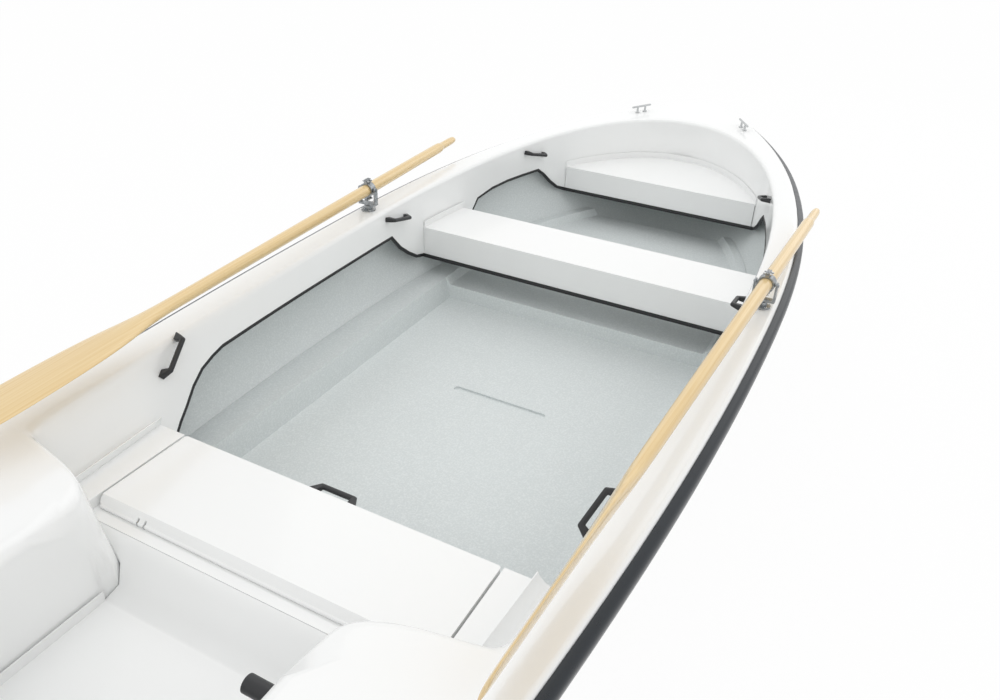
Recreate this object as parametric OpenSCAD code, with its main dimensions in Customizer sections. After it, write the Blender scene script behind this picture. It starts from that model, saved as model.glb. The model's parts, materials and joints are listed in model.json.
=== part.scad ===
// Rowing boat in glass fibre: a hull moulding, a white deck and seat moulding, two oars.
// X runs to the bow, Y to port, Z up. The keel stands on Z = 0, midway along the length.

/* [Hull] */
// Length of the hull, from the transom to the stem
hull_len = 4150; // [3700:10:4600]
// Breadth over the gunwale edge at the widest section
beam = 1580; // [1440:10:1740]
// Breadth over the gunwale edge at the transom
transom_w = 1320; // [1200:10:1420]
// Height of the gunwale above the keel, amidships
side_h = 619; // [580:1:680]
// Rise of the gunwale from amidships to the bow
bow_rise = 104; // [60:1:150]
// Thickness of the hull skin
skin = 10; // [8:1:14]
// Thickness of the transom
transom_t = 35; // [28:1:45]
// Depth of the keel below the skin
keel_d = 50; // [35:1:60]
// Width of the keel
keel_w = 36; // [24:1:50]
// Distance from the centreline to each bilge runner
runner_y = 330; // [260:5:400]

/* [Deck and seats] */
// Width of the side deck
side_deck_w = 105; // [90:1:125]
// Thickness of the deck and seat mouldings
deck_t = 8; // [6:1:10]
// Depth of the deck flange outside the hull
flange_h = 34; // [26:1:44]
// Length of the foredeck along the centreline
foredeck_len = 375; // [300:5:450]
// Height of the lower edge of the side walls
wall_foot = 525; // [500:1:545]
// Height of the bow seat
bow_seat_z = 505; // [480:1:520]
// Depth of the bow seat's aft face
bow_face = 105; // [80:1:120]
// Height of the middle thwart
thwart_z = 485; // [460:1:500]
// Depth of the faces of the middle thwart
thwart_face = 116; // [90:1:130]
// Width of the middle thwart, fore and aft
thwart_w = 275; // [240:1:300]
// Height of the aft seat and of its lid
aft_seat_z = 460; // [440:1:475]
// Depth of the aft seat's front face, below the lid
aft_face = 72; // [50:1:85]
// Width of the well between the quarter decks
well_w = 640; // [560:5:700]
// Height of the floor of the well
well_z = 335; // [320:1:370]

/* [Floor] */
// Height of the cockpit floor
floor_z = 200; // [190:1:215]
// Height of the ledge along each side of the floor
ledge_z = 285; // [270:1:300]
// Width of the floor between the ledges
floor_w = 1080; // [960:10:1120]
// Rise of the floor forward of the thwart's aft face
fore_step = 55; // [40:1:60]

/* [Lid] */
// Length of the lid across the boat
lid_len = 950; // [860:5:980]
// Width of the lid, fore and aft
lid_w = 290; // [270:1:300]
// Thickness of the lid
lid_t = 28; // [22:1:32]
// Gap round the lid
lid_gap = 7; // [4:0.5:9]
// Width of the ledge that the lid lies on
lid_ledge = 30; // [24:1:36]
// Width of the lid's sloping aft edge
lid_slope = 22; // [18:1:60]
// Diameter of the lid's hinge pins
hinge_pin_d = 5; // [4:0.5:6]

/* [Trim and rubbing strake] */
// Height of the rubbing strake
strake_h = 46; // [36:1:56]
// Thickness of the rubbing strake
strake_t = 26; // [18:1:32]
// Depth of the top of the strake below the deck edge
strake_drop = 12; // [8:1:18]
// Radius of the edge trim
trim_r = 6; // [4:0.5:8]

/* [Grab handles] */
// Length of a grab handle
handle_len = 142; // [120:1:160]
// Standoff of the grip from the wall
handle_out = 30; // [26:1:38]
// Diameter of the grip
handle_d = 15; // [12:0.5:18]
// Width of a handle's foot
foot_w = 24; // [20:1:30]

/* [Fittings] */
// Length of a cleat's bar
cleat_len = 115; // [90:1:140]
// Diameter of a cleat's bar
cleat_d = 10; // [8:0.5:13]
// Height of a cleat's bar above the deck
cleat_h = 30; // [24:1:38]
// Distance of the cleats inboard of the deck edge
cleat_inset = 75; // [60:1:90]
// Distance between a cleat's posts
cleat_gap = 46; // [36:1:60]
// Outside diameter of the spigot in the well
spigot_d = 38; // [30:1:44]
// Bore of the spigot
spigot_bore = 28; // [20:1:32]
// Inside diameter of the eye at the stem
eye_d = 24; // [18:1:30]

/* [Oars] */
// Length of an oar
oar_len = 2400; // [2100:10:2600]
// Length of the oar inboard of its oarlock
oar_inboard = 715; // [620:5:735]
// Diameter of the shaft at the oarlock
shaft_d = 44; // [38:1:48]
// Diameter of the grip
grip_d = 32; // [28:1:36]
// Length of the grip
grip_len = 120; // [100:5:140]
// Length of the blade
blade_len = 600; // [500:10:640]
// Width of the blade
blade_w = 140; // [110:2:150]
// Height of the oar above the gunwale, in its oarlock
lock_h = 80; // [78:1:95]
// Distance of the oarlocks inboard of the deck edge
lock_inset = 45; // [40:1:52]
// Diameter of the oarlock's stem
stem_d = 14; // [12:0.5:16]
// Diameter of the pins that carry the oar clamp
pin_d = 8; // [7:0.5:10]

/* [Fits] */
// Gap between mouldings that lie against each other
seam = 0.3; // [0.2:0.1:0.6]
// Radial clearance of a pin that turns in its hole
running = 0.05; // [0.02:0.01:0.1]
// Gap between the hull skin and what lies on it
hull_seam = 0.6; // [0.3:0.1:1]
// Gap between the side walls and the ends of the seats
wall_gap = 0.9; // [0.6:0.1:2]
// Gap between the floor of the well and the walls that turn round it
well_gap = 3.2; // [2:0.1:4]

/* [Hidden] */

WHITE = "#f3f3f1";
GREY = "#cdd2d2";
BLACK = "#26282a";
NAVY = "#20283a";
STEEL = "#b9bcbf";
PINE = "#dcb877";

// Places along the boat
side_slip = 1;
// The strake and the transom's capping reach past the hull, more at the stern than at the bow
stern_reach = deck_t + side_slip;
x_bow = hull_len/2 + stern_reach/2;
x_stern = -hull_len/2 + stern_reach/2;
x_wide = x_stern + 1825;
x_low = x_stern + 775;
x_stem = x_stern + 2775;
x_inner_tip = x_bow - foredeck_len;
x_lock = x_stern + 2125;
x_thwart = x_stern + 2395;
x_bow_face = x_bow - 787;
x_seat = x_stern + 910;
x_well = x_seat - lid_w - 30;
x_fan = x_stern + 2875;

// Half breadth of the deck edge and height of the deck, at a distance x along the boat
function bow_form(x, tip, half, power, blunt) =
    half*pow(max(0, 1 - pow(max(0, x - x_wide)/(tip - x_wide), power)), blunt);
function stern_taper(x) = pow(max(0, x_wide - x)/(x_wide - x_stern), 2);
function side_y(x) = bow_form(x, x_bow, beam/2, 2.6, 0.8)
    - (beam - transom_w)/2*stern_taper(x);
function sheer(x) = side_h + bow_rise*pow(max(0, x - x_low)/(x_bow - x_low), 2);

// Inner edge of the side decks, which turn inboard at the stern to make the quarter decks.
// Columns: distance from the well's front edge, share of the way from the side to the well
quarter_turn = [[-110, 1], [-75, 0.95], [-45, 0.82], [-25, 0.62], [-10, 0.35], [0, 0.12], [15, 0]];
function inner_y(x) = let (side = bow_form(x, x_inner_tip, beam/2 - side_deck_w, 2.6, 0.5)
        - (beam - transom_w)/2*stern_taper(x), turn = lookup(x - x_well, quarter_turn))
    side + (well_w/2 - side)*turn;

// How far the side walls lean inboard for each unit of depth
// Columns: place along the boat, lean
wall_lean = [[x_well - 110, 0], [x_well, 0.38], [x_seat, 0.4],
    [x_wide, 0.2], [x_thwart, 0.01], [x_bow, 0]];
// Radius along the outer edge of the deck, and along its inner edge at a distance x
deck_round = 14;
inner_rounds = [[x_well - 110, 34], [x_well + 60, 34], [x_seat, 22], [x_thwart, 16]];
function inner_round(x) = lookup(x, inner_rounds);
function wall_y(x, z) = max(0, inner_y(x) - lookup(x, wall_lean)*(sheer(x) - inner_round(x) - z));

// Lower edge of the side walls
// Columns: place along the boat, height
wall_edge = [[x_well - 110, well_z - 14], [x_well - 20, aft_seat_z - lid_t - aft_face],
    [x_seat, aft_seat_z - lid_t - aft_face], [x_seat + 65, 410], [x_seat + 115, 440],
    [x_seat + 165, 475], [x_seat + 235, 510], [x_seat + 325, wall_foot],
    [x_thwart - 220, wall_foot], [x_thwart - 150, 445], [x_thwart - 60, 385],
    [x_thwart, thwart_z - thwart_face], [x_thwart + thwart_w, thwart_z - thwart_face],
    [x_thwart + thwart_w + 50, 478], [x_thwart + thwart_w + 130, 510],
    [x_thwart + thwart_w + 260, wall_foot + 2], [x_bow_face - 170, wall_foot + 5],
    [x_bow_face - 113, 486], [x_bow_face - 60, 425], [x_bow_face, bow_seat_z - bow_face],
    [x_bow, bow_seat_z - bow_face]];

function edge_z(x) = lookup(x, wall_edge);

// Stations along the inner edge of the deck
// Columns: from, to, number of steps
x_deck = x_stern + transom_t + 1;
spans = [[x_stern, x_deck, 1], [x_deck, x_well - 110, 4],
    [x_well - 110, x_well - 75, 1], [x_well - 75, x_well - 45, 1], [x_well - 45, x_well - 25, 1],
    [x_well - 25, x_well - 10, 1], [x_well - 10, x_well, 1], [x_well, x_well + 15, 1],
    [x_well + 15, x_seat, 3], [x_seat, x_seat + 115, 3], [x_seat + 115, x_seat + 325, 4],
    [x_seat + 325, x_thwart - 220, 7], [x_thwart - 220, x_thwart, 4],
    [x_thwart, x_thwart + thwart_w, 3], [x_thwart + thwart_w, x_bow_face - 170, 5],
    [x_bow_face - 170, x_bow_face, 4]];
bow_steps = 14;
stations = concat([for (s = spans) each [for (i = [0 : s[2] - 1]) s[0] + (s[1] - s[0])*i/s[2]]],
    [for (i = [0 : bow_steps]) x_bow_face + (x_inner_tip - x_bow_face)*sin(90*i/bow_steps)]);
// The outer edge runs ahead of the inner one where the deck turns round the bow
function outer_x(x) = x + foredeck_len*pow(max(0, x - x_fan)/(x_inner_tip - x_fan), 4);
function between(from, to) = [for (x = stations) if (x > from - 0.01 && x < to + 0.01) x];

// Sections of the hull: powers of the sine and cosine, finer towards the bow
function fullness(x) = lookup(x, [[x_stern, 2.7], [x_wide, 2.6], [x_stem, 2.5], [x_bow, 2.1]]);
stem_head = 45;
function skin_top(x) = sheer(x) - deck_t - seam;
// The skin keeps its distance from the flange square to the deck edge
function edge_slope(x) = min(4, (side_y(x - 4) - side_y(min(x_bow, x + 4)))/(min(x_bow, x + 4) - x + 4));
function skin_y(x) = max(6, side_y(x) - (deck_t + side_slip)*sqrt(1 + pow(edge_slope(x), 2)));
function skin_foot(x) = let (rise = pow(max(0, x - x_stem)/(x_bow - x_stem), 2.6))
    keel_d + 22*pow(max(0, x_wide - x)/(x_wide - x_stern), 2)
    + (skin_top(x) - stem_head - keel_d)*rise;
side_steps = 8;
function section(x, half, depth) = let (p = 2/fullness(x))
    [for (i = [-side_steps : side_steps]) let (a = 90*i/side_steps)
        [x, sign(a)*half*pow(abs(sin(a)), p), skin_top(x) - depth*pow(max(0, cos(a)), p)]];
function outside(x) = section(x, skin_y(x), skin_top(x) - skin_foot(x));
function inside(x) = section(x, max(3, skin_y(x) - skin), max(2, skin_top(x) - skin_foot(x) - skin));
// Height of a section at a distance y from the centreline, and its half breadth at a height z
function z_on(line, y) = lookup(abs(y), [for (p = line) if (p[1] >= 0) [p[1], p[2]]]);
function y_on(line, z) = lookup(z, [for (p = line) if (p[1] >= 0) [p[2], p[1]]]);

// Solid through a row of rings. A ring goes out on one side of a strip and back on the other,
// so each end closes with a ladder of quads; with loop, the last ring joins the first.
module loft(rings, loop = false) {
    n = len(rings[0]);
    m = len(rings);
    last = loop ? m - 1 : m - 2;
    walls = [for (i = [0 : last], j = [0 : n - 1]) let (a = i*n + j, b = i*n + (j + 1)%n,
            c = ((i + 1)%m)*n + (j + 1)%n, d = ((i + 1)%m)*n + j) each [[a, b, c], [a, c, d]]];
    ends = loop ? [] : [for (e = [0, m - 1], j = [0 : n/2 - 2]) let (a = e*n + j, b = a + 1,
            c = e*n + n - 2 - j, d = c + 1) each e == 0 ? [[a, c, b], [a, d, c]]
            : [[a, b, c], [a, c, d]]];
    polyhedron([for (r = rings) each r], concat(walls, ends));
}

function reversed(list) = [for (i = [len(list) - 1 : -1 : 0]) list[i]];
function unit(v) = v/norm(v);
function both(xs) = concat([for (x = xs) [x, 1]], [for (x = reversed(xs)) if (x < x_inner_tip - 1) [x, -1]]);

function deck_frame(x, side) = let (xo = outer_x(x), o = [xo, side*side_y(xo)],
        i = [x, side*inner_y(x)]) [o, unit(i - o), norm(i - o)];
function on_frame(f, p) = let (q = f[0] + f[1]*p[0]) [q[0], q[1], sheer(q[0]) + p[1]];

// Deck strip with a flange outside the hull and the side wall inside
function deck_ring(x, side) = let (f = deck_frame(x, side), w = f[2], t = deck_t, r = deck_round,
        c = 0.3*r, s = inner_round(x), d = 0.3*s, e = t + 0.3*(s - t), depth = sheer(x) - edge_z(x),
        lean = lookup(x, wall_lean)*(depth - s),
        face = [[0, -flange_h], [0, -r], [c, -c], [r, 0], [w - s, 0], [w - d, -d], [w, -s],
            [w + lean, -depth]],
        back = [[t, -flange_h], [t, -t - 6], [t, -t - 3], [t, -t], [w - s, -t],
            [w - e, -e], [w - t, -s], [w + lean - t, -depth]])
    [for (p = concat(back, reversed(face))) on_frame(f, p)];

// Tube of radius r along points, pressed to one side of an edge
function tube_rings(points, r, loop, sides = 8) = let (n = len(points))
    [for (i = [0 : n - 1]) let (a = points[loop ? (i + n - 1)%n : max(0, i - 1)],
            b = points[loop ? (i + 1)%n : min(n - 1, i + 1)], t = unit(b - a),
            s = unit(cross(t, [0, 0, 1])), u = cross(s, t))
        [for (k = [0 : sides - 1]) let (v = 360*(k + 0.5)/sides)
            points[i] - u*(r + seam) + r*(s*cos(v) + u*sin(v))]];

// The skin ends short of the deck flange that wraps the stem
stem_gap = deck_t + 4;
hull_xs = concat([for (x = stations) if (outer_x(x) < x_bow - stem_gap - 1) outer_x(x)], [x_bow - stem_gap]);
function hull_between(from, to) = [for (x = hull_xs) if (x > from - 0.01 && x < to + 0.01) x];
module hull_shell() {
    color(WHITE) loft([for (x = hull_xs)
        let (solid = x < x_stern + transom_t || x > x_bow - 50)
        concat(solid ? section(x, max(3, skin_y(x) - skin), 2) : inside(x), reversed(outside(x)))]);
}

// Foam-backed floor with a ledge along each side, lying on the hull skin
floor_stern = x_stern + transom_t + 1;
floor_bow = x_stem + 700;
floor_rise = 22;
function floor_ring(x) = let (line = inside(x), top = floor_z + (x > x_thwart - 1 ? fore_step : 0),
        reach = y_on(line, ledge_z) - 4, flat = min(floor_w/2, reach - 60, y_on(line, top) - 12),
        ys = [-reach, -flat - floor_rise, -flat, -flat/2, 0, flat/2, flat, flat + floor_rise, reach],
        zs = [ledge_z, ledge_z, top, top, top, top, top, ledge_z, ledge_z])
    concat([for (i = [0 : 8]) [x, ys[i], zs[i]]],
        [for (i = [8 : -1 : 0]) let (lift = i > 2 && i < 6 ? hull_seam : 2.5)
            [x, ys[i], min(z_on(line, ys[i]) + lift, zs[i] - 1)]]);
step_run = 8;
module floor_pan() {
    before = hull_between(floor_stern, x_thwart - 1);
    after = hull_between(x_thwart - 0.1, floor_bow);
    color(GREY) loft([for (x = concat(before, [x_thwart - step_run], after)) floor_ring(x)]);
}

module keel() {
    color(WHITE) loft([for (x = hull_between(x_stern + transom_t, x_stem + 900))
        let (rise = max(0, x - x_stem)/900, top = skin_foot(x) - hull_seam,
            foot = x > x_stem ? min(top - 2, skin_foot(x) - keel_d*(1 - rise)) : 0)
        [[x, keel_w/2, top], [x, keel_w/2 - 6, foot], [x, 6 - keel_w/2, foot], [x, -keel_w/2, top]]]);
}

runner_w = 34;
runner_seam = 2.2;
module bilge_runners() {
    color(WHITE) for (side = [-1, 1])
        loft([for (x = hull_between(x_stern + transom_t, x_stem - 150))
            let (a = side*(runner_y - runner_w/2), b = side*(runner_y + runner_w/2), line = outside(x))
            [[x, max(a, b), z_on(line, max(a, b)) - runner_seam], [x, max(a, b) - 5, 0],
                [x, min(a, b) + 5, 0], [x, min(a, b), z_on(line, min(a, b)) - runner_seam]]]);
}

module gunwale_deck() {
    color(WHITE) loft([for (s = both(between(x_deck, x_bow))) deck_ring(s[0], s[1])]);
}

// Plan outline between the side walls, clear of them at height z
function wall_slope(x, z) = min(4, abs(wall_y(x - 4, z) - wall_y(x + 4, z))/8);
function seat_y(x, z) = wall_y(x, z) - wall_gap*sqrt(1 + pow(wall_slope(x, z), 2));
tip_gap = 6;
function outline(from, to, z) = let (xs = between(from, min(to, x_inner_tip - tip_gap)))
    concat([for (x = xs) [x, seat_y(x, z)]], [for (x = reversed(xs)) [x, -seat_y(x, z)]]);
module slab(from, to, top, thick = deck_t) {
    translate([0, 0, top - thick]) linear_extrude(thick) polygon(outline(from, to, top - thick));
}
// Upright panel across the boat, from x forwards, its ends clear of the side walls
module panel(x, top, foot) {
    ends = [for (z = [top, foot]) min(wall_y(x, z), wall_y(x + deck_t, z)) - wall_gap];
    translate([x, 0, 0]) rotate([90, 0, 90]) linear_extrude(deck_t)
        polygon([[-ends[0], top], [-ends[1], foot], [ends[1], foot], [ends[0], top]]);
}

module bow_seat() {
    color(WHITE) {
        slab(x_bow_face, x_inner_tip, bow_seat_z);
        panel(x_bow_face, bow_seat_z - deck_t, bow_seat_z - bow_face);
    }
}

module middle_thwart() {
    color(WHITE) {
        slab(x_thwart, x_thwart + thwart_w, thwart_z);
        panel(x_thwart, thwart_z - deck_t, thwart_z - thwart_face);
        panel(x_thwart + thwart_w - deck_t, thwart_z - deck_t, thwart_z - thwart_face);
    }
}

rim_z = aft_seat_z - lid_t - seam;
lid_aft = x_seat - lid_w;
module aft_seat() {
    color(WHITE) {
        difference() {
            slab(x_well, x_seat, rim_z);
            translate([lid_aft + lid_ledge, lid_ledge - lid_len/2, rim_z - 2*deck_t])
                cube([lid_w - 2*lid_ledge, lid_len - 2*lid_ledge, 3*deck_t]);
        }
        // Strips at the ends of the lid, level with its top
        difference() {
            slab(x_well, x_seat, aft_seat_z, aft_seat_z - rim_z);
            translate([x_well - 1, -lid_len/2 - lid_gap, rim_z - 1])
                cube([x_seat - x_well + 2, lid_len + 2*lid_gap, aft_seat_z]);
        }
        panel(x_seat - deck_t, rim_z - deck_t, edge_z(x_seat));
    }
}

// Floor and front slope of the well, between the quarter decks
// Columns: distance from the front of the well, depth below the seat's rim
well_slope = [[-110, 1], [-75, 0.75], [-45, 0.42], [-25, 0.2], [-10, 0.06], [0, 0]];
function well_top(x) = rim_z - (rim_z - well_z)*lookup(x - x_well, well_slope);
module aft_well() {
    color(WHITE) loft([for (x = between(x_stern + transom_t + 1, x_well))
        let (z = well_top(x), y = wall_y(x, z - deck_t) - well_gap, dx = x > x_well - 1 ? seam : 0)
        [[x - dx, y, z], [x - dx, y, z - deck_t], [x - dx, -y, z - deck_t], [x - dx, -y, z]]]);
}

// Capping over the transom, flanged outside the hull as the deck is
cap_drop = 70;
module transom_cap() {
    top = sheer(x_stern);
    fore = x_deck - seam;
    aft = x_stern - stern_reach;
    y = side_y(x_stern);
    y_fore = side_y(fore);
    lip_y = wall_y(x_deck, top - cap_drop) - wall_gap;
    color(WHITE) {
        translate([0, 0, top - deck_t]) linear_extrude(deck_t)
            polygon([[aft, y], [fore, y_fore], [fore, -y_fore], [aft, -y]]);
        translate([aft, -y, top - flange_h]) cube([deck_t, 2*y, flange_h]);
        for (side = [-1, 1]) translate([0, 0, top - flange_h]) linear_extrude(flange_h)
            polygon([[aft, side*y], [fore, side*y_fore], [fore, side*(y_fore - deck_t)],
                [aft, side*(y - deck_t)]]);
        translate([x_stern + transom_t + seam, -lip_y, top - cap_drop]) cube([deck_t, 2*lip_y, cap_drop]);
    }
}

// The lid turns on a bead along its aft edge, round the pins of two hinges
bead_r = 5.5;
hinge_x = lid_aft + bead_r;
hinge_z = rim_z + seam + bead_r;
hinge_ys = [-0.35*lid_len, 0.35*lid_len];
knuckle_w = 16;
ear_t = 4;
ear_r = 4.7;
ear_gap = 1;
lid_skin = 6;
lid_corner = 9;
// Depth of the slope's skin at its foot, as a share of the skin
grade = (aft_seat_z - hinge_z - bead_r)/(lid_slope - bead_r);
slope_skin = sqrt(1 + grade*grade) - grade;
module lid() {
    color(WHITE) difference() {
        union() {
            difference() {
                lid_block(0);
                lid_block(lid_skin);
            }
            translate([hinge_x, 0, hinge_z]) rotate([90, 0, 0])
                cylinder(r = bead_r, h = lid_len - 2*lid_corner, center = true, $fn = 32);
        }
        for (y = hinge_ys) {
            for (side = [-1, 1]) translate([lid_aft - 1,
                y + side*(knuckle_w/2 + ear_gap + ear_t/2) - ear_gap - ear_t/2, rim_z])
                cube([2*bead_r + 2, ear_t + 2*ear_gap, lid_t]);
            translate([hinge_x, y, hinge_z]) rotate([90, 0, 0])
                cylinder(d = hinge_pin_d + 2*running, h = knuckle_w + 1, center = true, $fn = 32);
        }
    }
}
// Lid forward of its bead, with rounded corners; with an inset, the hollow under it
module lid_block(inset) {
    r = lid_corner - inset;
    aft = hinge_x + inset;
    fore = x_seat - inset;
    side = lid_len/2 - inset;
    foot = rim_z + seam - (inset > 0 ? 1 : 0);
    intersection() {
        translate([0, 0, foot]) linear_extrude(lid_t + 1) {
            translate([aft + r, -side]) square([fore - aft - 2*r, 2*side]);
            translate([aft, r - side]) square([fore - aft, 2*(side - r)]);
            for (x = [aft + r, fore - r], y = [r - side, side - r]) translate([x, y]) circle(r, $fn = 32);
        }
        rotate([90, 0, 0]) linear_extrude(2*lid_len, center = true) polygon([[aft, foot - 1],
            [aft, hinge_z + bead_r - slope_skin*inset], [lid_aft + lid_slope, aft_seat_z - inset],
            [fore, aft_seat_z - inset], [fore, foot - 1]]);
    }
}

// Ears on the rim that hold the hinge pins
module lid_hinges() {
    color(STEEL) for (y = hinge_ys) translate([hinge_x, y, 0]) {
        for (side = [-1, 1]) translate([0, side*(knuckle_w/2 + ear_gap + ear_t/2), 0]) {
            translate([-ear_r, -ear_t/2, rim_z + seam]) cube([2*ear_r, ear_t, bead_r]);
            translate([0, 0, hinge_z]) rotate([90, 0, 0])
                cylinder(r = ear_r, h = ear_t, center = true, $fn = 32);
        }
        translate([0, 0, hinge_z]) rotate([90, 0, 0])
            cylinder(d = hinge_pin_d, h = knuckle_w + 2*ear_gap + ear_t, center = true, $fn = 32);
    }
}

// Edge trims on the lower edges of the walls and seat faces. A trim dips a little where it
// turns the corner onto a seat face.
trim_dip = 3;
function edge_points(from, to) = [for (x = between(from, to))
    [x, wall_y(x, edge_z(x)) + deck_t/2, edge_z(x) - (x < from + 1 || x > to - 1 ? trim_dip : 0)]];
function across(points) = [for (p = points) [p[0], -p[1], p[2]]];
function edge_loop(from, to) = let (side = edge_points(from, to)) concat(side, across(reversed(side)));
module cockpit_trim() {
    color(BLACK) loft(tube_rings(edge_loop(x_seat, x_thwart), trim_r, true), true);
}
module fore_trim() {
    color(BLACK) loft(tube_rings(edge_loop(x_thwart + thwart_w, x_bow_face), trim_r, true), true);
}

// The strake's back is slightly hollow. At the stern it turns square round the transom's capping.
function corner_frame(side) = [[x_stern - stern_reach, side*side_y(x_stern)], [1, -side], 0];
function strake_ring(f) = let (t = strake_t, h = strake_h, top = -strake_drop, edge = -seam)
    [for (p = [[edge, top], [-t*0.6, top - 2], [-t*0.92, top - h*0.2], [-t, top - h*0.5],
        [-t*0.92, top - h*0.8], [-t*0.6, top - h + 2], [edge, top - h], [edge - 0.8, top - h*0.7],
        [edge - 1, top - h*0.5], [edge - 0.8, top - h*0.3]]) on_frame(f, p)];
module rubbing_strake() {
    color(NAVY) loft([for (f = concat([corner_frame(1)],
        [for (s = both(stations)) if (s[0] > x_stern + 1) deck_frame(s[0], s[1])], [corner_frame(-1)]))
        strake_ring(f)], true);
}

// Grab handle on a wall: feet on the plane Y = 0, grip along X
module grab_handle(length = handle_len) {
    color(BLACK) {
        translate([-length/2 + foot_w/2, handle_out, 0]) rotate([0, 90, 0])
            cylinder(d = handle_d, h = length - foot_w, $fn = 24);
        for (end = [-1, 1]) hull() {
            translate([end*(length - foot_w)/2 - foot_w/2, 0, -handle_d/2 - 2])
                cube([foot_w, 3, handle_d + 4]);
            translate([end*(length/2 - foot_w/2), handle_out, 0]) sphere(d = handle_d, $fn = 20);
        }
    }
}
// Columns: place along the boat, height, slope down towards the bow
handle_places = [[x_bow - 991, 612, 14], [x_lock + 86, 587, 12], [x_seat + 138, 581, -35]];
module wall_handle(row, side) {
    p = handle_places[row];
    half = handle_len/2 - foot_w/2;
    run = half*cos(p[2]);
    y_fore = wall_y(p[0] + run, p[1]);
    y_aft = wall_y(p[0] - run, p[1]);
    turn = atan((y_fore - y_aft)/(2*run));
    mirror([0, side > 0 ? 1 : 0, 0]) translate([p[0], -(y_fore + y_aft)/2 + seam + 0.6, p[1]])
        rotate([0, 0, -turn]) rotate([atan(lookup(p[0], wall_lean)), 0, 0]) rotate([0, p[2], 0])
        grab_handle();
}
module handle_port_bow() wall_handle(0, 1);
module handle_port_mid() wall_handle(1, 1);
module handle_port_aft() wall_handle(2, 1);
module handle_starboard_bow() wall_handle(0, -1);
module handle_starboard_mid() wall_handle(1, -1);
module handle_starboard_aft() wall_handle(2, -1);
module lid_handle() {
    translate([x_seat + seam, 0, aft_seat_z - lid_t/2 - 1]) rotate([0, 0, -90]) grab_handle();
}

cleat_x = x_bow - 344;
cleat_y = side_y(cleat_x) - cleat_inset;
module bow_cleats() {
    slope = atan(2*bow_rise*(cleat_x - x_low)/pow(x_bow - x_low, 2));
    color(STEEL) for (side = [-1, 1]) translate([cleat_x, side*cleat_y, sheer(cleat_x) + seam])
        rotate([0, -slope, 0]) rotate([0, 0, -side*atan(edge_slope(cleat_x))]) {
            for (end = [-1, 1]) translate([end*cleat_gap/2, 0, 0]) {
                cylinder(d = 22, h = 4, $fn = 32);
                cylinder(d1 = 12, d2 = 9, h = cleat_h, $fn = 32);
            }
            translate([-cleat_len/2 + cleat_d/2, 0, cleat_h]) rotate([0, 90, 0])
                cylinder(d = cleat_d, h = cleat_len - cleat_d, $fn = 32);
            for (end = [-1, 1]) translate([end*(cleat_len - cleat_d)/2, 0, cleat_h])
                sphere(d = cleat_d, $fn = 32);
        }
}

spigot_x = x_stern + 370;
spigot_z = 530;
spigot_len = 80;
module well_spigot() {
    reach = spigot_d/2 + 8;
    wall = -wall_y(spigot_x, spigot_z);
    turn = atan((wall_y(spigot_x - reach, spigot_z) - wall_y(spigot_x + reach, spigot_z))/(2*reach));
    lean = atan(lookup(spigot_x, wall_lean));
    color(BLACK) translate([spigot_x, wall + seam, spigot_z]) rotate([0, 0, turn])
        rotate([lean - 90, 0, 0]) difference() {
            union() {
                cylinder(d = spigot_d + 16, h = 6, $fn = 48);
                cylinder(d = spigot_d, h = spigot_len, $fn = 48);
            }
            translate([0, 0, 8]) cylinder(d = spigot_bore, h = spigot_len, $fn = 48);
        }
}

eye_bar = 8;
eye_x = x_bow - 170;
module bow_eye() {
    z = skin_foot(eye_x);
    tilt = atan((skin_foot(eye_x + 20) - skin_foot(eye_x - 20))/40);
    color(STEEL) translate([eye_x, 0, z]) rotate([0, -tilt, 0]) translate([0, 0, -seam - 0.5]) {
        translate([-22, -9, -4]) cube([44, 18, 4]);
        translate([0, 0, -4 - eye_d/2 - eye_bar/2]) rotate([90, 0, 0])
            rotate_extrude($fn = 48) translate([eye_d/2 + eye_bar/2, 0]) circle(d = eye_bar, $fn = 24);
    }
}

module drain_plug() {
    color(BLACK) translate([x_stern - seam, 0, keel_d + 95]) rotate([0, -90, 0]) {
        cylinder(d = 44, h = 4, $fn = 48);
        cylinder(d = 24, h = 12, $fn = 48);
    }
}

// Oarlocks: a socket on the side deck, a fork that swivels in it, a clamp that tilts in the fork
socket_h = 20;
socket_d = 54;
// The deck rises under the level base of the socket
socket_seam = seam + bow_rise*(x_lock - x_low)/pow(x_bow - x_low, 2)*socket_d;
fork_foot = 22;
ring_wall = 5;
ring_w = 30;
ring_gap = 0.3;
ear_h = 13;
ear_split = 2;
cheek_gap = 3;
cheek_t = 6;
cheek_w = 20;
ring_r = shaft_d/2 + ring_gap + ring_wall;
cheek_y = ring_r + cheek_gap;
deck_z = sheer(x_lock);
lock_y = side_y(x_lock) - lock_inset;
module at_lock(side, z = deck_z) translate([x_lock, side*lock_y, z]) children();
module socket(side) {
    color(STEEL) at_lock(side) difference() {
        union() {
            translate([0, 0, socket_seam]) cylinder(d = socket_d, h = 5, $fn = 48);
            translate([0, 0, socket_seam]) cylinder(d = 30, h = socket_h, $fn = 48);
        }
        translate([0, 0, 3]) cylinder(d = stem_d + 2*running, h = socket_h, $fn = 48);
    }
}
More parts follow.
